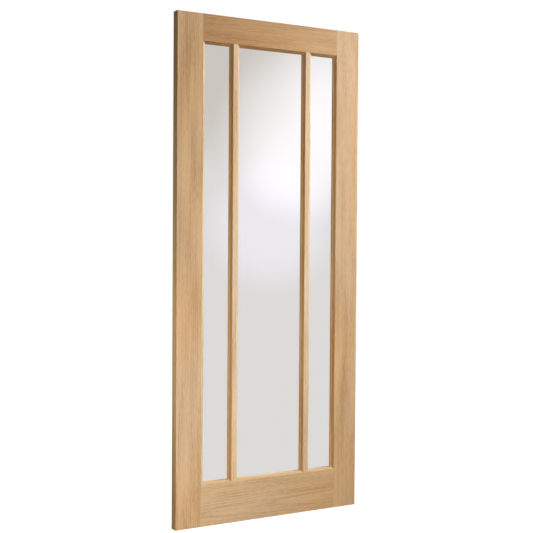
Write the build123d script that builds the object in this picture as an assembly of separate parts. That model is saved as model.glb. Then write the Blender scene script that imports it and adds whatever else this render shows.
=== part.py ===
from build123d import *
import os

# Glazed interior door leaf in oak: three tall panes between splayed glazing beads.
# The front face looks along -Y, the hinge edge lies at x = 0 and the foot at z = 0.

# Leaf
leaf_width = 838.0
leaf_height = 1981.0
leaf_thickness = 35.0

# Oak frame
stile_width = 110.0  # with its lipping
lipping_thickness = 10.0
top_rail_width = 104.0
bottom_rail_width = 163.0
muntin_width = 19.0
side_light_width = 132.5
outer_arris_radius = 1.5  # long outer arrises of the lippings
light_arris_chamfer = 0.6  # arrises round the lights, on both faces

# Glass
glass_thickness = 6.0
glass_edge_clearance = 3.0  # from the edge of a pane to the oak round it
glass_arris = 0.5  # ground edges of the panes

# Glazing beads
bead_width = 9.0  # from the oak frame into the light
bead_quirk = 0.6  # from the face of the leaf down to the top of the bead
bead_land = 1.0  # narrow flat between the frame and the splay
bead_toe_radius = 0.8  # rounded lower arris of the splay
front_splay_drop = 3.0  # how far the splay of a front bead falls towards the glass
back_toe_height = 1.5  # what the steep splay of a back bead leaves above the glass

# Sizes that follow from the ones above
rail_length = leaf_width - 2 * stile_width
light_height = leaf_height - bottom_rail_width - top_rail_width
light_top = bottom_rail_width + light_height
centre_light_width = rail_length - 2 * (side_light_width + muntin_width)
left_muntin_x = stile_width + side_light_width
right_muntin_x = left_muntin_x + muntin_width + centre_light_width
right_stile_x = leaf_width - stile_width
bead_depth = (leaf_thickness - glass_thickness) / 2
front_toe_depth = bead_quirk + front_splay_drop
back_toe_depth = bead_depth - back_toe_height

# Each light's left side and width
lights = {
    "left": (stile_width, side_light_width),
    "centre": (left_muntin_x + muntin_width, centre_light_width),
    "right": (right_stile_x - side_light_width, side_light_width),
}


def light_arris_cutter(left, width):
    """Tapered plug that bevels the front arris all round one light."""
    front = Plane.XZ.offset(leaf_thickness / 2)
    middle = Pos(left + width / 2, bottom_rail_width + light_height / 2)
    flare = 4 * light_arris_chamfer  # both sides together, at 45 degrees
    inner = front.offset(-light_arris_chamfer) * middle * Rectangle(width, light_height)
    outer = front.offset(light_arris_chamfer) * middle * Rectangle(width + flare, light_height + flare)
    return loft([inner.face(), outer.face()])


def light_arris_cutters():
    """The plugs of all the lights, on the front face and on the back."""
    front_plugs = [light_arris_cutter(left, width) for left, width in lights.values()]
    return front_plugs + [mirror(plug, about=Plane.XZ) for plug in front_plugs]


def board(left, width, foot, height):
    """A square board as thick as the leaf, placed by its lower left corner."""
    corner = (Align.MIN, Align.CENTER, Align.MIN)
    return Pos(left, 0, foot) * Box(width, leaf_thickness, height, align=corner)


def frame_member(left, width, foot, height):
    """A stile, rail or muntin, with its arrises eased where it borders a light."""
    return board(left, width, foot, height) - light_arris_cutters()


def lipping():
    """Solid oak strip down the hinge edge, with rounded outer arrises."""
    strip = board(0, lipping_thickness, 0, leaf_height)
    outer_arrises = strip.edges().filter_by(Axis.Z).group_by(Axis.X)[0]
    return fillet(outer_arrises, outer_arris_radius)


def pane(left, width):
    """A sheet of clear glass, centred in the leaf's thickness and short of the oak all round."""
    middle = Pos(left + width / 2, 0, bottom_rail_width + light_height / 2)
    sheet_width = width - 2 * glass_edge_clearance
    sheet_height = light_height - 2 * glass_edge_clearance
    sheet = middle * Box(sheet_width, glass_thickness, sheet_height)
    return chamfer(sheet.edges(), glass_arris)


def bead_section(toe_depth):
    """Cross section of a bead: first axis into the light, second axis out of the face."""
    outline = Polyline(
        (0, -bead_quirk), (bead_land, -bead_quirk), (bead_width, -toe_depth),
        (bead_width, -bead_depth), (0, -bead_depth), close=True,
    )
    section = make_face(outline)
    toe_corner = section.vertices().sort_by_distance((bead_width, -toe_depth))[0]
    return fillet(toe_corner, bead_toe_radius)


def mitred_bead(length, toe_depth):
    """A bead along +X from a corner of the light, with both ends cut at 45 degrees."""
    bar = extrude(Plane.YZ * bead_section(toe_depth), length)
    first_mitre = Plane(origin=(0, 0, 0), x_dir=(0, 0, 1), z_dir=(1, -1, 0))
    last_mitre = Plane(origin=(length, 0, 0), x_dir=(0, 0, 1), z_dir=(-1, -1, 0))
    bar = split(bar, bisect_by=first_mitre, keep=Keep.TOP)
    return split(bar, bisect_by=last_mitre, keep=Keep.TOP)


def front_beads(left, width, toe_depth):
    """Four beads round one light on the front face, seated on its glass."""
    right = left + width
    face = -leaf_thickness / 2
    runs = {
        "bottom": (width, (left, face, bottom_rail_width), (1, 0, 0)),
        "right": (light_height, (right, face, bottom_rail_width), (0, 0, 1)),
        "top": (width, (right, face, light_top), (-1, 0, 0)),
        "left": (light_height, (left, face, light_top), (0, 0, -1)),
    }
    return {
        side: Plane(origin=corner, x_dir=along, z_dir=(0, -1, 0)) * mitred_bead(length, toe_depth)
        for side, (length, corner, along) in runs.items()
    }


def door_leaf():
    """Every piece of the leaf by name."""
    leaf_middle = Plane.YZ.offset(leaf_width / 2)
    core_width = stile_width - lipping_thickness
    pieces = {
        "left_lipping": lipping(),
        "right_lipping": mirror(lipping(), about=leaf_middle),
        "left_stile": frame_member(lipping_thickness, core_width, 0, leaf_height),
        "right_stile": frame_member(right_stile_x, core_width, 0, leaf_height),
        "top_rail": frame_member(stile_width, rail_length, light_top, top_rail_width),
        "bottom_rail": frame_member(stile_width, rail_length, 0, bottom_rail_width),
        "left_muntin": frame_member(left_muntin_x, muntin_width, bottom_rail_width, light_height),
        "right_muntin": frame_member(right_muntin_x, muntin_width, bottom_rail_width, light_height),
    }
    for name, (left, width) in lights.items():
        pieces[f"{name}_pane"] = pane(left, width)
        for side, bead in front_beads(left, width, front_toe_depth).items():
            pieces[f"{name}_front_{side}_bead"] = bead
        for side, bead in front_beads(left, width, back_toe_depth).items():
            pieces[f"{name}_back_{side}_bead"] = mirror(bead, about=Plane.XZ)
    return pieces


os.makedirs("parts", exist_ok=True)
for name, piece in door_leaf().items():
    export_step(piece, f"parts/{name}.step")
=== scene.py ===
import math
from typing import NamedTuple

import bpy
from bpy.props import FloatProperty, FloatVectorProperty, PointerProperty
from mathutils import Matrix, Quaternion, Vector


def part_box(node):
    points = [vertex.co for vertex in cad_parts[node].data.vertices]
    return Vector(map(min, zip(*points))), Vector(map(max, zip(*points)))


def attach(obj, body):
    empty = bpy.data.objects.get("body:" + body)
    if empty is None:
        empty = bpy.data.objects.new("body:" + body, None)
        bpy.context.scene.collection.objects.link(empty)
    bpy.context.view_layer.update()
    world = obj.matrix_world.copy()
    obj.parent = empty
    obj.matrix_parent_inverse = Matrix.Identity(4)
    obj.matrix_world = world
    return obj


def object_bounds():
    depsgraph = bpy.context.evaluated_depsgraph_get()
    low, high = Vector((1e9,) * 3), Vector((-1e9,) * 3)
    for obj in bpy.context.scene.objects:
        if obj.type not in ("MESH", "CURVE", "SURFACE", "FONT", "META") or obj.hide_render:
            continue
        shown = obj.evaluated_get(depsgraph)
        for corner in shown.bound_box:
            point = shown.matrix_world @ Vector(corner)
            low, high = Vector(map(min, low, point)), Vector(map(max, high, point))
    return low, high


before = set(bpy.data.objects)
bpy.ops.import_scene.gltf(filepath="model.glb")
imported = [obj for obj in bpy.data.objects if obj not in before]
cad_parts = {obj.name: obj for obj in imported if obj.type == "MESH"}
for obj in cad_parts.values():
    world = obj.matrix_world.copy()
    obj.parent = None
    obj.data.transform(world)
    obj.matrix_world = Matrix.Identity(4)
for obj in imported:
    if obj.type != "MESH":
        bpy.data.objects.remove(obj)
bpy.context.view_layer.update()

bl_info = {
    "name": "Glazed oak door leaf",
    "version": (1, 0, 0),
    "blender": (4, 5, 0),
    "location": "View3D > Sidebar > Door leaf",
    "description": "Finishes an oak door leaf with three tall panes and sets it in a white studio",
    "category": "Object",
}

LEAF_LOW, LEAF_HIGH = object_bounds()
LIGHTS = ("left", "centre", "right")

# The way that each face of the leaf looks, along Y
FACES = {"front": -1.0, "back": 1.0}

# Each bead's way into its light, and the way that it runs
BEADS = {
    "bottom": (Vector((0, 0, 1)), Vector((1, 0, 0))),
    "right": (Vector((-1, 0, 0)), Vector((0, 0, 1))),
    "top": (Vector((0, 0, -1)), Vector((1, 0, 0))),
    "left": (Vector((1, 0, 0)), Vector((0, 0, 1))),
}


class Board(NamedTuple):
    """How one piece of oak was cut, and what sets its figure apart from the others."""

    upright: bool  # grain up the leaf, or else across it
    seed: int  # place of its figure in the noise
    cast: int  # place of its broad changes of colour in the noise
    heart: tuple  # heart of its log: metres across the grain and through the leaf, and its slope


BOARDS = {
    "left_stile": Board(upright=True, seed=41, cast=313, heart=(-0.10, 0.06, 0.004)),
    "right_stile": Board(upright=True, seed=122, cast=301, heart=(1.00, 0.07, 0.004)),
    "top_rail": Board(upright=False, seed=3, cast=304, heart=(2.05, 0.05, 0.006)),
    "bottom_rail": Board(upright=False, seed=114, cast=304, heart=(0.05, 0.05, 0.02)),
    "left_lipping": Board(upright=True, seed=5, cast=313, heart=(0.4, 0.1, 0.002)),
    "right_lipping": Board(upright=True, seed=6, cast=301, heart=(0.4, 0.1, 0.002)),
    "left_muntin": Board(upright=True, seed=107, cast=311, heart=(0.0, 0.1, 0.002)),
    "right_muntin": Board(upright=True, seed=128, cast=314, heart=(0.0, 0.1, 0.002)),
    "bottom_bead": Board(upright=False, seed=9, cast=301, heart=(-0.3, 0.1, 0.002)),
    "right_bead": Board(upright=True, seed=10, cast=301, heart=(-0.3, 0.1, 0.002)),
    "top_bead": Board(upright=False, seed=11, cast=301, heart=(-0.3, 0.1, 0.002)),
    "left_bead": Board(upright=True, seed=12, cast=301, heart=(-0.3, 0.1, 0.002)),
}

# How far each part of the figure lightens or darkens the oak, and the softwood of the core
FIGURE = {"streak": 0.6, "cloud": 0.95, "fibre": 0.6, "fleck": 0.68, "late_wood": 0.16}
CORE_FIGURE = {"streak": 0.9, "block": 0.45}
PORE_SHADE = -0.25

# How much of each growth ring turns slowly from early wood to late wood
EARLY_WOOD_SHARE = 0.55

# A speck of noise above these is an open pore in the early wood and in the late wood
PORE_THRESHOLDS = (0.58, 0.70)
PORE_SOFTNESS = 0.08

# Shares of a mean tone: the ends of its range, the two casts of the oak, and its sawn ends
DARK_STREAK = (0.66, 0.57, 0.46)
LIGHT_STREAK = (1.22, 1.26, 1.32)
PINK_CAST = (1.025, 0.987, 0.915)
STRAW_CAST = (0.975, 1.012, 1.070)
SAWN_EARLY_WOOD = (0.50, 0.46, 0.42)
SAWN_LATE_WOOD = (0.72, 0.68, 0.64)

# How far the fine streaks and the broad changes of colour sway the cast
CAST_STREAK = 1.5
CAST_BROAD = 3.0

# Height of the fibres, as a share of the pores' depth
FIBRE_RELIEF = 0.4

# Steps along, across and through the noise from one seed to the next
SEED_STEPS = (3.1, 1.7, 2.3)

# Roughness of the smoothest and the dullest places
OAK_ROUGHNESS = (0.62, 0.84)
WAX_ROUGHNESS = (0.35, 0.6)

WHITE = (1.0, 1.0, 1.0, 1.0)


def colour(name, description, default):
    """A colour that a user may change."""
    return FloatVectorProperty(
        name=name, description=description, default=default,
        subtype="COLOR", size=3, min=0.0, max=1.0,
    )


def length(name, description, default):
    """A length in metres that a user may change."""
    return FloatProperty(name=name, description=description, default=default, unit="LENGTH", precision=4)


def angle(name, description, degrees):
    """An angle that a user may change."""
    return FloatProperty(
        name=name, description=description, default=math.radians(degrees), subtype="ANGLE",
    )


def place(name, description, default):
    """A point in metres that a user may change."""
    return FloatVectorProperty(name=name, description=description, default=default, subtype="TRANSLATION")


def power(name, description, default):
    """The power of a lamp in watts."""
    return FloatProperty(name=name, description=description, default=default, unit="POWER", min=0.0)


def optics(name, description, default):
    """A size of the camera in millimetres."""
    return FloatProperty(name=name, description=description, default=default, unit="CAMERA", min=1.0)


class OakFinish(bpy.types.PropertyGroup):
    """Tones of the oak and the sizes of its grain."""

    stile_tone: colour("Stiles", "Mean tone of the veneer on the stiles", (0.55, 0.358, 0.196))
    head_tone: colour("Top rail", "Mean tone of the veneer on the top rail", (0.472, 0.276, 0.128))
    foot_tone: colour("Bottom rail", "Mean tone of the veneer on the bottom rail", (0.565, 0.370, 0.200))
    lipping_tone: colour("Lippings", "Mean tone of the solid oak lippings", (0.555, 0.365, 0.205))
    # Painted shade: the long outer edges get a darker tone in place of shade on the hinge edge that the
    # lamps alone do not give
    edge_painted_shade_tone: colour("Long edges", "Mean tone of the planed long edges", (0.37, 0.250, 0.110))
    muntin_tone: colour("Muntins", "Mean tone of the solid oak muntins", (0.640, 0.462, 0.292))
    # Painted light and shade: each side of bead gets its own tone, paler on the left and bottom beads whose
    # splays face the key, darker on the right and top beads that lie in shade
    left_bead_tone: colour("Left beads", "Mean tone of the left glazing beads", (0.51, 0.390, 0.250))
    right_bead_tone: colour("Right beads", "Mean tone of the right glazing beads", (0.485, 0.275, 0.115))
    top_bead_tone: colour("Top beads", "Mean tone of the top glazing beads", (0.36, 0.190, 0.075))
    bottom_bead_tone: colour("Bottom beads", "Mean tone of the bottom glazing beads", (0.515, 0.355, 0.190))
    core_tone: colour("Core", "Softwood blocks that show at the head and the foot", (0.62, 0.44, 0.26))
    skin_tone: colour("Skin", "Board under the veneer, seen at the head and the foot", (0.33, 0.22, 0.13))
    ring_width: length("Growth ring", "Mean distance from one growth ring to the next", 0.0065)
    ring_wander: length("Ring wander", "How far the growth rings stray to either side", 0.014)
    bend_width: length("Bend", "Width of the slow bends of the growth rings", 0.06)
    bend_length: length("Bend length", "Length of the slow bends of the growth rings", 0.45)
    cloud_width: length("Cloud", "Width of the broad light and dark clouds", 0.06)
    cloud_length: length("Cloud length", "Length of the broad light and dark clouds", 0.4)
    streak_width: length("Streak", "Width of the soft streaks along the grain", 0.009)
    streak_length: length("Streak length", "Length of the soft streaks along the grain", 0.30)
    fibre_width: length("Fibre", "Width of the fine fibre lines", 0.0012)
    fibre_length: length("Fibre length", "Length of the fine fibre lines", 0.09)
    fleck_width: length("Fleck", "Width of the short flecks", 0.0033)
    fleck_length: length("Fleck length", "Length of the short flecks", 0.026)
    pore_width: length("Pore", "Width of the open pores", 0.0004)
    pore_length: length("Pore length", "Length of the open pores", 0.007)
    pore_depth: length("Pore depth", "Depth of the open pores", 0.0003)
    hue_width: length("Hue streak", "Width of the pink and straw streaks", 0.018)
    hue_length: length("Hue streak length", "Length of the pink and straw streaks", 0.5)
    cast_width: length("Cast", "Width of the broad pink and straw areas", 0.25)
    cast_length: length("Cast length", "Length of the broad pink and straw areas", 0.45)
    veneer: length("Veneer", "Thickness of the oak veneer", 0.0006)
    skin: length("Skin thickness", "Thickness of the board under the veneer", 0.003)
    block: length("Core block", "Width of one softwood block of the core", 0.025)


class PinSetup(bpy.types.PropertyGroup):
    """Pins that hold the beads."""

    spacing: length("Spacing", "Distance from one pin to the next along a bead", 0.20)
    margin: length("Margin", "From the end of a bead to its first pin", 0.035)
    radius: length("Radius", "Radius of the filled hole over a sunk pin", 0.0009)
    crown: length("Crown", "Height of the filler above the bead", 0.00012)
    land: length("Land", "Narrow flat of a bead beside the frame", 0.001)
    front_drop: length("Front splay", "How far the splay of a front bead falls towards the glass", 0.003)
    back_drop: length("Back splay", "How far the splay of a back bead falls towards the glass", 0.0124)
    filler_tone: colour("Filler", "Wax over the sunk pins of the beads", (0.36, 0.22, 0.11))
    filler_grain: length("Filler grain", "Size of the light and dark grains in the wax", 1 / 900)


class GlassFinish(bpy.types.PropertyGroup):
    """Look of the panes."""

    tint: colour("Tint", "Colour of white light seen through a pane", (0.980, 0.980, 0.985))
    ripple: length("Ripple", "Distance between the faint roller waves of the glass", 0.25)
    ripple_depth: length("Ripple depth", "Height of the faint roller waves of the glass", 0.0005)


class StudioSetup(bpy.types.PropertyGroup):
    """Camera, lamps and backdrop."""

    view_azimuth: angle("Azimuth", "Angle of the camera round the leaf", -30.6)
    view_elevation: angle("Elevation", "Angle of the camera above its target", 1.46)
    view_roll: angle("Roll", "Tilt of the camera about its line of sight", 0.37)
    view_distance: length("Distance", "From the camera to its target", 4.255)
    view_target: place("Target", "Point that the camera looks at", (0.408, 0.0, 1.008))
    lens: optics("Lens", "Focal length of the camera", 71.66)
    sensor: optics("Sensor", "Width of the camera's sensor", 36.0)
    key_place: place("Key", "Place of the main lamp", (3.70, -1.30, 3.20))
    key_target: place("Key target", "Point of the leaf that the main lamp is aimed at", (0.70, 0.0, 1.30))
    key_size: length("Key size", "Side of the main lamp", 1.2)
    key_spread: angle("Key spread", "Angle of the main lamp's beam", 100.0)
    key_power: power("Key power", "Power of the main lamp", 107.0)
    fill_place: place("Fill", "Place of the low lamp in front", (-0.48, -1.55, 0.19))
    fill_target: place("Fill target", "Point of the leaf that the low lamp is aimed at", (0.2, 0.0, 0.6))
    fill_size: length("Fill size", "Side of the low lamp in front", 0.5)
    fill_power: power("Fill power", "Power of the low lamp in front", 23.0)
    edge_place: place("Edge", "Place of the small lamp beside the hinge edge", (-0.95, 0.55, 0.70))
    edge_target: place("Edge target", "Point of the edge that its lamp is aimed at", (0.0, 0.0, 0.7))
    edge_size: length("Edge size", "Side of the small lamp beside the hinge edge", 0.3)
    edge_power: power("Edge power", "Power of the small lamp beside the hinge edge", 8.6)
    rear_place: place("Rear", "Place of the lamp behind the leaf", (-0.30, 3.30, 1.10))
    rear_target: place("Rear target", "Point of the leaf that the rear lamp is aimed at", (0.42, 0.0, 1.0))
    rear_size: length("Rear size", "Side of the lamp behind the leaf", 1.2)
    rear_power: power("Rear power", "Power of the lamp behind the leaf", 85.0)
    floor_tone: colour("Floor", "Tone of the floor under its own white glow", (0.12, 0.12, 0.12))
    floor_reach: length("Floor reach", "From the middle of the floor to its sides", 9.0)
    floor_gap: length("Floor gap", "From the floor up to the foot of the leaf", 0.0005)
    ambient_tone: colour("Ambient", "Dim warm light from all round", (0.076, 0.054, 0.028))
    backdrop_tone: colour("Backdrop", "Backdrop that shows through the panes", (0.766, 0.755, 0.737))
    shade_tone: colour("Backdrop shade", "Darker part of the backdrop", (0.625, 0.590, 0.545))
    shade_point: place("Shade", "Point of the leaf where the darker backdrop shows", (0.216, 0.0, 1.75))
    shade_spread: angle("Shade spread", "Half angle of the darker part of the backdrop", 5.4)
    glow_tone: colour("Glow", "Light that the bright part of the backdrop adds", (0.295, 0.292, 0.320))
    glow_point: place("Glow point", "Point of the leaf where that bright part shows", (0.604, 0.0, 1.563))
    glow_spread: angle("Glow spread", "Half angle of the bright part of the backdrop", 5.4)
    trail_tone: colour("Trail", "Light that the lower end of the bright part adds", (0.125, 0.122, 0.185))
    trail_point: place("Trail point", "Point of the leaf where that lower end shows", (0.430, 0.0, 1.171))
    trail_spread: angle("Trail spread", "Half angle of that lower end", 4.0)


class DoorLeafSettings(bpy.types.PropertyGroup):
    """All that a user may change."""

    oak: PointerProperty(type=OakFinish)
    pins: PointerProperty(type=PinSetup)
    glass: PointerProperty(type=GlassFinish)
    studio: PointerProperty(type=StudioSetup)


def settings():
    """The leaf's settings in the open scene."""
    return bpy.context.scene.door_leaf


def node(tree, kind, inputs=None, **options):
    """Adds a node, sets its options and fills its inputs with values or with links."""
    made = tree.nodes.new(kind)
    for option, value in options.items():
        setattr(made, option, value)
    for socket, value in (inputs or {}).items():
        if isinstance(value, bpy.types.NodeSocket):
            tree.links.new(value, made.inputs[socket])
        else:
            made.inputs[socket].default_value = value
    return made


def maths(tree, operation, first, second=0.5, third=0.5):
    """One step of arithmetic."""
    inputs = {0: first, 1: second, 2: third}
    return node(tree, "ShaderNodeMath", inputs, operation=operation).outputs[0]


def remap(tree, value, low, high, to_low=0.0, to_high=1.0, curve="LINEAR"):
    """Stretches a range of values to another range."""
    inputs = {"Value": value, "From Min": low, "From Max": high, "To Min": to_low, "To Max": to_high}
    return node(tree, "ShaderNodeMapRange", inputs, interpolation_type=curve).outputs[0]


def mix_colours(tree, share, first, second, blend="MIX"):
    """The first colour where the share is 0, the second mixed in or added where it is 1."""
    # A Mix node's colours are its sockets 6 and 7, behind those for numbers and vectors
    inputs = {0: share, 6: first, 7: second}
    return node(tree, "ShaderNodeMix", inputs, data_type="RGBA", blend_type=blend).outputs[2]


def opaque(tone):
    """A tone as a full colour."""
    return (*tone, 1.0)


def scaled(tone, factors):
    """A tone made darker, lighter or warmer, as a full colour."""
    return opaque(part * factor for part, factor in zip(tone, factors))


def blank_material(name):
    """A material with nothing in it but its shader."""
    material = bpy.data.materials.new(name)
    material.use_nodes = True
    tree = material.node_tree
    tree.nodes.clear()
    shader = node(tree, "ShaderNodeBsdfPrincipled")
    node(tree, "ShaderNodeOutputMaterial", {"Surface": shader.outputs["BSDF"]})
    return material, tree, shader


def set_relief(tree, shader, height, strength, depth):
    """Raises or sinks the surface a little where a value is high or low."""
    bump = node(tree, "ShaderNodeBump", {"Height": height, "Strength": strength, "Distance": depth})
    tree.links.new(bump.outputs["Normal"], shader.inputs["Normal"])


def grain_space(tree, upright):
    """Places on the leaf in metres: along the grain, across the face and through the leaf."""
    position = node(tree, "ShaderNodeTexCoord").outputs["Object"]
    parts = node(tree, "ShaderNodeSeparateXYZ", {0: position}).outputs
    along, across = ("Z", "X") if upright else ("X", "Z")
    grain = node(tree, "ShaderNodeCombineXYZ", {0: parts[along], 1: parts[across], 2: parts["Y"]})
    return grain.outputs[0], parts


def noise_place(seed):
    """A place of its own in the noise."""
    return tuple(seed * step for step in SEED_STEPS)


def second_place(seed):
    """Another place in the noise for the same seed."""
    return noise_place(seed)[::-1]


def stretched_noise(tree, grain, along, across, shift, detail=2.0):
    """Noise whose blots are as long and as wide as given, in metres."""
    scale = (1 / along, 1 / across, 1 / across)
    spread = node(tree, "ShaderNodeMapping", {"Vector": grain, "Location": shift, "Scale": scale})
    inputs = {"Vector": spread.outputs[0], "Scale": 1.0, "Detail": detail}
    return node(tree, "ShaderNodeTexNoise", inputs).outputs["Fac"]


def growth_rings(tree, grain, board, look):
    """How far each place lies through its growth ring, from 0 to 1, round the heart of the log."""
    heart_across, heart_through, slope = board.heart
    parts = node(tree, "ShaderNodeSeparateXYZ", {0: grain}).outputs
    shift = noise_place(board.seed)
    bend = stretched_noise(tree, grain, look.bend_length, look.bend_width, shift, detail=1.0)
    wander = remap(tree, bend, 0.0, 1.0, -look.ring_wander, look.ring_wander)
    across = maths(tree, "SUBTRACT", maths(tree, "ADD", parts["Y"], wander), heart_across)
    rise = maths(tree, "MULTIPLY_ADD", parts["X"], slope, -heart_through)
    through = maths(tree, "ADD", parts["Z"], rise)
    offset = node(tree, "ShaderNodeCombineXYZ", {0: across, 1: through}).outputs[0]
    radius = node(tree, "ShaderNodeVectorMath", {0: offset}, operation="LENGTH").outputs["Value"]
    return maths(tree, "FRACT", maths(tree, "DIVIDE", radius, look.ring_width))


def oak_figure(tree, grain, board, look):
    """Each part of the oak's figure, as a value that swings round one half."""
    shift = noise_place(board.seed)
    other = second_place(board.seed)
    ring = growth_rings(tree, grain, board, look)
    return {
        "streak": stretched_noise(tree, grain, look.streak_length, look.streak_width, shift),
        "cloud": stretched_noise(tree, grain, look.cloud_length, look.cloud_width, other, detail=1.0),
        "fibre": stretched_noise(tree, grain, look.fibre_length, look.fibre_width, shift),
        "fleck": stretched_noise(tree, grain, look.fleck_length, look.fleck_width, shift),
        "late_wood": remap(tree, ring, 0.0, EARLY_WOOD_SHARE, curve="SMOOTHSTEP"),
    }


def open_pores(tree, grain, board, late_wood, look):
    """One in the open pores, which crowd together in the early wood, and nought elsewhere."""
    shift = noise_place(board.seed)
    speck = stretched_noise(tree, grain, look.pore_length, look.pore_width, shift, detail=0.0)
    threshold = remap(tree, late_wood, 0.0, 1.0, *PORE_THRESHOLDS)
    return remap(tree, maths(tree, "SUBTRACT", speck, threshold), 0.0, PORE_SOFTNESS)


def weighted(tree, terms):
    """Adds up values that swing round one half, each times its weight, about one half."""
    total = 0.5 - sum(weight for value, weight in terms) / 2
    for value, weight in terms:
        total = maths(tree, "MULTIPLY_ADD", value, weight, total)
    return total


def tone_ramp(tree, shade, tone):
    """Colours from the dark streaks of a tone to its light ones."""
    ramp = node(tree, "ShaderNodeValToRGB", {"Fac": shade})
    stops = ramp.color_ramp.elements
    stops[0].color = scaled(tone, DARK_STREAK)
    stops[1].color = scaled(tone, LIGHT_STREAK)
    stops.new(0.5).color = opaque(tone[:3])
    return ramp.outputs["Color"]


def sanded_face(tree, grain, board, shade, tone, look):
    """The mean tone with its light and dark, here of a pink cast and there of a straw one."""
    pink = tone_ramp(tree, shade, scaled(tone, PINK_CAST))
    straw = tone_ramp(tree, shade, scaled(tone, STRAW_CAST))
    streak = stretched_noise(tree, grain, look.hue_length, look.hue_width, second_place(board.seed))
    broad = stretched_noise(
        tree, grain, look.cast_length, look.cast_width, second_place(board.cast), detail=0.0,
    )
    cast = weighted(tree, [(streak, CAST_STREAK), (broad, CAST_BROAD)])
    return mix_colours(tree, cast, pink, straw)


def outer_faces(tree, position, low, high):
    """One on the two outer faces of the leaf along one axis, and nought elsewhere."""
    sliver = 0.0003  # metres that a place may lie short of the face
    reach = maths(tree, "ABSOLUTE", maths(tree, "SUBTRACT", position, (low + high) / 2))
    return maths(tree, "GREATER_THAN", reach, (high - low) / 2 - sliver)


def bare_core(tree, parts, veneer_colour, streak, look):
    """What the sawn head and foot show: softwood blocks between board skins and oak veneer."""
    block = maths(tree, "FLOOR", maths(tree, "DIVIDE", parts["X"], look.block))
    chance = node(tree, "ShaderNodeTexWhiteNoise", {"W": block}, noise_dimensions="1D")
    figure = {"streak": streak, "block": chance.outputs["Value"]}
    shade = weighted(tree, [(figure[part], weight) for part, weight in CORE_FIGURE.items()])
    softwood = tone_ramp(tree, shade, look.core_tone)
    depth = maths(tree, "SUBTRACT", LEAF_HIGH.y, maths(tree, "ABSOLUTE", parts["Y"]))
    in_skin = maths(tree, "LESS_THAN", depth, look.veneer + look.skin)
    in_veneer = maths(tree, "LESS_THAN", depth, look.veneer)
    inside = mix_colours(tree, in_skin, softwood, opaque(look.skin_tone))
    return mix_colours(tree, in_veneer, inside, veneer_colour)


def oak(piece, tone, edge_painted_shade_tone=None, veneered=False):
    """Fine sanded oak with sawn ends, and with painted shade on the long outer edges where an edge tone is
    given.
    """
    look = settings().oak
    board = BOARDS[piece]
    material, tree, shader = blank_material(f"{piece}_oak")
    grain, parts = grain_space(tree, board.upright)
    figure = oak_figure(tree, grain, board, look)
    pore = open_pores(tree, grain, board, figure["late_wood"], look)
    shade = weighted(tree, [(figure[part], weight) for part, weight in FIGURE.items()])
    shade = maths(tree, "MULTIPLY_ADD", pore, PORE_SHADE, shade)

    surface = sanded_face(tree, grain, board, shade, tone, look)
    if edge_painted_shade_tone is not None:
        # Painted shade: the long outer faces of the leaf take the darker edge tone
        edges = outer_faces(tree, parts["X"], LEAF_LOW.x, LEAF_HIGH.x)
        surface = mix_colours(tree, edges, surface, tone_ramp(tree, shade, edge_painted_shade_tone))
    if veneered:
        sawn = bare_core(tree, parts, surface, figure["streak"], look)
    else:
        early, late = scaled(tone, SAWN_EARLY_WOOD), scaled(tone, SAWN_LATE_WOOD)
        sawn = mix_colours(tree, figure["late_wood"], early, late)
    ends = outer_faces(tree, parts["Z"], LEAF_LOW.z, LEAF_HIGH.z)
    tree.links.new(mix_colours(tree, ends, surface, sawn), shader.inputs["Base Color"])

    roughness = remap(tree, figure["fibre"], 0.0, 1.0, *OAK_ROUGHNESS)
    tree.links.new(roughness, shader.inputs["Roughness"])
    sunk_pores = maths(tree, "MULTIPLY", pore, -1.0)
    height = maths(tree, "MULTIPLY_ADD", figure["fibre"], FIBRE_RELIEF, sunk_pores)
    set_relief(tree, shader, height, strength=0.25, depth=look.pore_depth)
    shader.inputs["Specular IOR Level"].default_value = 0.2
    return material


def clear_glass(name):
    """Flat clear glass with faint roller waves."""
    look = settings().glass
    material, tree, shader = blank_material(name)
    position = node(tree, "ShaderNodeTexCoord").outputs["Object"]
    wave = node(tree, "ShaderNodeTexNoise", {"Vector": position, "Scale": 1 / look.ripple, "Detail": 0.0})
    set_relief(tree, shader, wave.outputs["Fac"], strength=0.1, depth=look.ripple_depth)
    shader.inputs["Base Color"].default_value = opaque(look.tint)
    shader.inputs["Roughness"].default_value = 0.02
    shader.inputs["IOR"].default_value = 1.5
    shader.inputs["Transmission Weight"].default_value = 1.0
    return material


def pin_filler(name):
    """Soft wax, a shade darker than the bead round it."""
    setup = settings().pins
    material, tree, shader = blank_material(name)
    position = node(tree, "ShaderNodeTexCoord").outputs["Object"]
    inputs = {"Vector": position, "Scale": 1 / setup.filler_grain}
    grain = node(tree, "ShaderNodeTexNoise", inputs).outputs["Fac"]
    tree.links.new(tone_ramp(tree, grain, setup.filler_tone), shader.inputs["Base Color"])
    tree.links.new(remap(tree, grain, 0.0, 1.0, *WAX_ROUGHNESS), shader.inputs["Roughness"])
    return material


def dress(piece, material):
    """Gives one piece of the leaf its finish."""
    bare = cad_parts[piece]
    bare.data.materials.clear()
    bare.data.materials.append(material)
    return bare


class DOOR_OT_stiles(bpy.types.Operator):
    """Veneers the two stiles"""

    bl_idname = "door.stiles"
    bl_label = "Finish stiles"

    def execute(self, context):
        look = settings().oak
        for piece in ("left_stile", "right_stile"):
            dress(piece, oak(piece, look.stile_tone, veneered=True))
        return {"FINISHED"}


class DOOR_OT_rails(bpy.types.Operator):
    """Veneers the top and bottom rails"""

    bl_idname = "door.rails"
    bl_label = "Finish rails"

    def execute(self, context):
        look = settings().oak
        dress("top_rail", oak("top_rail", look.head_tone, veneered=True))
        dress("bottom_rail", oak("bottom_rail", look.foot_tone, veneered=True))
        return {"FINISHED"}


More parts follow.
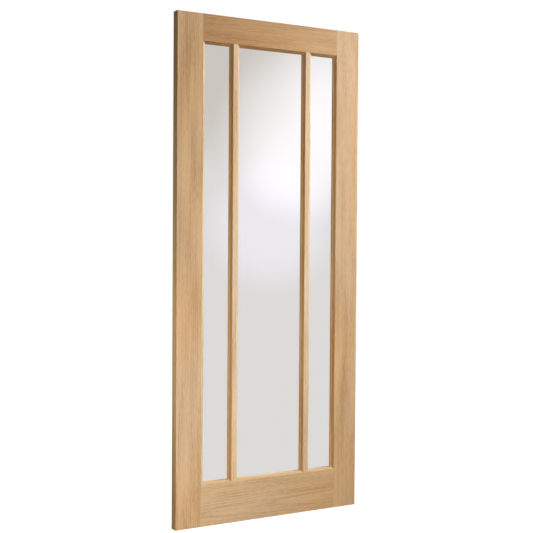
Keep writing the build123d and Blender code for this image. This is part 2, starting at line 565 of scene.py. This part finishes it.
class DOOR_OT_lippings(bpy.types.Operator):
    """Finishes the solid oak strips on the long edges"""

    bl_idname = "door.lippings"
    bl_label = "Finish lippings"

    def execute(self, context):
        look = settings().oak
        for piece in ("left_lipping", "right_lipping"):
            # The outer faces of the lippings carry the painted edge shade
            dress(piece, oak(piece, look.lipping_tone, edge_painted_shade_tone=look.edge_painted_shade_tone))
        return {"FINISHED"}


class DOOR_OT_muntins(bpy.types.Operator):
    """Finishes the two muntins"""

    bl_idname = "door.muntins"
    bl_label = "Finish muntins"

    def execute(self, context):
        look = settings().oak
        for piece in ("left_muntin", "right_muntin"):
            dress(piece, oak(piece, look.muntin_tone))
        return {"FINISHED"}


class DOOR_OT_beads(bpy.types.Operator):
    """Finishes the glazing beads"""

    bl_idname = "door.beads"
    bl_label = "Finish glazing beads"

    def execute(self, context):
        look = settings().oak
        for side in BEADS:
            # The tone of each side holds painted light and shade: pale where the splays face the key, dark
            # where they lie in shade
            material = oak(f"{side}_bead", getattr(look, f"{side}_bead_tone"))
            for light in LIGHTS:
                for face in FACES:
                    dress(f"{light}_{face}_{side}_bead", material)
        return {"FINISHED"}


class DOOR_OT_panes(bpy.types.Operator):
    """Glazes the three lights"""

    bl_idname = "door.panes"
    bl_label = "Glaze the lights"

    def execute(self, context):
        material = clear_glass("clear_pane_glass")
        for light in LIGHTS:
            pane = dress(f"{light}_pane", material)
            pane.visible_shadow = False
        return {"FINISHED"}


def pin_line(bead, side, face):
    """The ends of the row of pins down the middle of one bead's splay, and the way they face."""
    setup = settings().pins
    into_light, along = BEADS[side]
    outwards = Vector((0, FACES[face], 0))
    drop = setup.front_drop if face == "front" else setup.back_drop
    low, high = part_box(bead)
    low, high = Vector(low), Vector(high)
    size = high - low
    bead_width = abs(size.dot(into_light))
    bead_length = size.dot(along)
    splay_width = bead_width - setup.land
    facing = (into_light * drop + outwards * splay_width).normalized()
    middle = (low + high) / 2
    middle += outwards * (abs(size.y) / 2 - drop / 2)
    middle += into_light * (setup.land / 2)
    half_row = along * (bead_length / 2 - setup.margin)
    return middle - half_row, middle + half_row, facing


def pin_tree(material):
    """Geometry nodes that set a low crown of filler at even steps along each row."""
    tree = bpy.data.node_groups.new("bead_pins", "GeometryNodeTree")
    sockets = tree.interface
    sockets.new_socket("Geometry", in_out="INPUT", socket_type="NodeSocketGeometry")
    for name in ("Spacing", "Radius", "Crown"):
        sockets.new_socket(name, in_out="INPUT", socket_type="NodeSocketFloat")
    sockets.new_socket("Geometry", in_out="OUTPUT", socket_type="NodeSocketGeometry")
    given = node(tree, "NodeGroupInput").outputs

    rows = node(tree, "GeometryNodeMeshToCurve", {"Mesh": given["Geometry"]}).outputs[0]
    inputs = {"Curve": rows, "Length": given["Spacing"]}
    even = node(tree, "GeometryNodeResampleCurve", inputs, mode="LENGTH").outputs[0]
    facing = node(tree, "GeometryNodeInputNamedAttribute", {"Name": "facing"}, data_type="FLOAT_VECTOR")
    turn = node(tree, "FunctionNodeAlignRotationToVector", {"Vector": facing.outputs[0]}, axis="Z")
    ball = node(tree, "GeometryNodeMeshUVSphere", {"Segments": 10, "Rings": 6, "Radius": 1.0})
    flat = node(tree, "ShaderNodeCombineXYZ", {0: given["Radius"], 1: given["Radius"], 2: given["Crown"]})
    inputs = {"Geometry": ball.outputs["Mesh"], "Scale": flat.outputs[0]}
    crown = node(tree, "GeometryNodeTransform", inputs).outputs[0]
    inputs = {"Points": even, "Instance": crown, "Rotation": turn.outputs[0]}
    pins = node(tree, "GeometryNodeInstanceOnPoints", inputs).outputs[0]
    solid = node(tree, "GeometryNodeRealizeInstances", {"Geometry": pins}).outputs[0]
    finished = node(tree, "GeometryNodeSetMaterial", {"Geometry": solid, "Material": material}).outputs[0]
    node(tree, "NodeGroupOutput", {"Geometry": finished})
    return tree


def bead_pins(name, face, tree):
    """All the filled pin holes on the beads of one face, as one piece."""
    setup = settings().pins
    ends, facings, rows = [], [], []
    for light in LIGHTS:
        for side in BEADS:
            first, last, facing = pin_line(f"{light}_{face}_{side}_bead", side, face)
            rows.append((len(ends), len(ends) + 1))
            ends += [first, last]
            facings += [*facing, *facing]
    mesh = bpy.data.meshes.new(name)
    mesh.from_pydata(ends, rows, [])
    mesh.attributes.new("facing", "FLOAT_VECTOR", "POINT").data.foreach_set("vector", facings)
    piece = bpy.data.objects.new(name, mesh)
    bpy.context.scene.collection.objects.link(piece)

    maker = piece.modifiers.new("pins", "NODES")
    maker.node_group = tree
    sizes = {"Spacing": setup.spacing, "Radius": setup.radius, "Crown": setup.crown}
    for socket in tree.interface.items_tree:
        if socket.in_out == "INPUT" and socket.name in sizes:
            maker[socket.identifier] = sizes[socket.name]
    bpy.context.view_layer.update()
    graph = bpy.context.evaluated_depsgraph_get()
    solid = bpy.data.meshes.new_from_object(piece.evaluated_get(graph), depsgraph=graph)
    piece.modifiers.clear()
    piece.data = solid
    if not solid.polygons:
        raise RuntimeError(f"no pins were made for {name}")
    return piece


class DOOR_OT_pins(bpy.types.Operator):
    """Sets the filled pins along the glazing beads"""

    bl_idname = "door.pins"
    bl_label = "Pin the glazing beads"

    def execute(self, context):
        tree = pin_tree(pin_filler("bead_pin_wax"))
        for face in FACES:
            pins = bead_pins(f"{face}_bead_pins", face, tree)
            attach(pins, "root")
        return {"FINISHED"}


def soft_lamp(name, stand, target, size, watts, spread=math.pi, mirrored=False):
    """A square studio lamp aimed at a point of the leaf, with or without a sheen on it."""
    lamp = bpy.data.lights.new(name, "AREA")
    lamp.shape = "SQUARE"
    lamp.size = size
    lamp.energy = watts
    lamp.spread = spread
    holder = bpy.data.objects.new(name, lamp)
    holder.location = stand
    holder.rotation_mode = "QUATERNION"
    holder.rotation_quaternion = (Vector(target) - Vector(stand)).to_track_quat("-Z", "Y")
    holder.visible_transmission = False
    holder.visible_glossy = mirrored
    bpy.context.scene.collection.objects.link(holder)


def studio_lamps(setup):
    """A broad key from the right, a low fill, a small lamp for the hinge edge and one behind."""
    soft_lamp(
        "key_lamp", setup.key_place, setup.key_target, setup.key_size, setup.key_power,
        spread=setup.key_spread, mirrored=True,
    )
    soft_lamp("fill_lamp", setup.fill_place, setup.fill_target, setup.fill_size, setup.fill_power)
    soft_lamp("edge_lamp", setup.edge_place, setup.edge_target, setup.edge_size, setup.edge_power)
    soft_lamp("rear_lamp", setup.rear_place, setup.rear_target, setup.rear_size, setup.rear_power)


def white_floor(setup):
    """A plain white floor that only the camera sees."""
    reach = setup.floor_reach
    low = LEAF_LOW.z - setup.floor_gap
    corners = [(-reach, -reach, low), (reach, -reach, low), (reach, reach, low), (-reach, reach, low)]
    mesh = bpy.data.meshes.new("studio_floor")
    mesh.from_pydata(corners, [], [(0, 1, 2, 3)])
    material, _, shader = blank_material("studio_white")
    shader.inputs["Base Color"].default_value = opaque(setup.floor_tone)
    shader.inputs["Roughness"].default_value = 0.9
    shader.inputs["Emission Color"].default_value = WHITE
    shader.inputs["Emission Strength"].default_value = 1.0
    mesh.materials.append(material)
    floor = bpy.data.objects.new("studio_floor", mesh)
    floor.visible_diffuse = False
    floor.visible_glossy = False
    floor.visible_transmission = False
    bpy.context.scene.collection.objects.link(floor)


def camera_place(setup):
    """Where the camera stands, and the way from its target back to it."""
    turn, rise = setup.view_azimuth, setup.view_elevation
    level = math.cos(rise)
    back = Vector((math.sin(turn) * level, -math.cos(turn) * level, math.sin(rise)))
    return Vector(setup.view_target) + back * setup.view_distance, back


def studio_camera(setup, eye, back):
    """The camera, a little rolled, as the scene's own."""
    camera = bpy.data.cameras.new("photo_camera")
    camera.lens = setup.lens
    camera.sensor_width = setup.sensor
    holder = bpy.data.objects.new("photo_camera", camera)
    holder.location = eye
    holder.rotation_mode = "QUATERNION"
    roll = Quaternion((0, 0, 1), setup.view_roll)
    holder.rotation_quaternion = (-back).to_track_quat("-Z", "Y") @ roll
    bpy.context.scene.collection.objects.link(holder)
    bpy.context.scene.camera = holder


def backdrop_patch(tree, ray, eye, point, spread):
    """A soft round patch of the backdrop, seen past one point of the leaf."""
    centre = (Vector(point) - eye).normalized()
    nearness = node(tree, "ShaderNodeVectorMath", {0: ray, 1: centre}, operation="DOT_PRODUCT")
    return remap(tree, nearness.outputs["Value"], math.cos(spread), 1.0, curve="SMOOTHSTEP")


def studio_world(setup, eye):
    """White all round, dim and warm as light, with a softly lit backdrop behind the panes."""
    world = bpy.data.worlds.new("studio_world")
    bpy.context.scene.world = world
    world.use_nodes = True
    tree = world.node_tree
    tree.nodes.clear()
    ray = node(tree, "ShaderNodeTexCoord").outputs["Generated"]
    shade = backdrop_patch(tree, ray, eye, setup.shade_point, setup.shade_spread)
    glow = backdrop_patch(tree, ray, eye, setup.glow_point, setup.glow_spread)
    trail = backdrop_patch(tree, ray, eye, setup.trail_point, setup.trail_spread)
    backdrop = mix_colours(tree, shade, opaque(setup.backdrop_tone), opaque(setup.shade_tone))
    backdrop = mix_colours(tree, trail, backdrop, opaque(setup.trail_tone), "ADD")
    backdrop = mix_colours(tree, glow, backdrop, opaque(setup.glow_tone), "ADD")
    path = node(tree, "ShaderNodeLightPath").outputs
    tone = mix_colours(tree, path["Is Transmission Ray"], opaque(setup.ambient_tone), backdrop)
    tone = mix_colours(tree, path["Is Camera Ray"], tone, WHITE)
    background = node(tree, "ShaderNodeBackground", {"Color": tone, "Strength": 1.0})
    node(tree, "ShaderNodeOutputWorld", {"Surface": background.outputs[0]})


class DOOR_OT_studio(bpy.types.Operator):
    """Sets the white floor, the lamps, the backdrop and the camera"""

    bl_idname = "door.studio"
    bl_label = "Set the studio"

    def execute(self, context):
        setup = settings().studio
        context.scene.view_settings.view_transform = "Standard"
        eye, back = camera_place(setup)
        white_floor(setup)
        studio_world(setup, eye)
        studio_lamps(setup)
        studio_camera(setup, eye, back)
        return {"FINISHED"}


class DOOR_PT_sidebar(bpy.types.Panel):
    """Lists the steps that finish the leaf"""

    bl_idname = "DOOR_PT_sidebar"
    bl_label = "Door leaf"
    bl_space_type = "VIEW_3D"
    bl_region_type = "UI"
    bl_category = "Door leaf"

    def draw(self, context):
        for step in STEPS:
            self.layout.operator(step.bl_idname)


STEPS = (
    DOOR_OT_stiles,
    DOOR_OT_rails,
    DOOR_OT_lippings,
    DOOR_OT_muntins,
    DOOR_OT_beads,
    DOOR_OT_panes,
    DOOR_OT_pins,
    DOOR_OT_studio,
)
GROUPS = (OakFinish, PinSetup, GlassFinish, StudioSetup, DoorLeafSettings)
CLASSES = (*GROUPS, *STEPS, DOOR_PT_sidebar)


def register():
    """Makes the settings, the steps and the panel known."""
    for each in CLASSES:
        bpy.utils.register_class(each)
    bpy.types.Scene.door_leaf = PointerProperty(type=DoorLeafSettings)


def unregister():
    """Takes the settings, the steps and the panel away again."""
    del bpy.types.Scene.door_leaf
    for each in reversed(CLASSES):
        bpy.utils.unregister_class(each)


def main():
    """Finishes the leaf step by step."""
    register()
    bpy.ops.door.stiles()
    bpy.ops.door.rails()
    bpy.ops.door.lippings()
    bpy.ops.door.muntins()
    bpy.ops.door.beads()
    bpy.ops.door.panes()
    bpy.ops.door.pins()
    bpy.ops.door.studio()


if __name__ == "__main__":
    main()
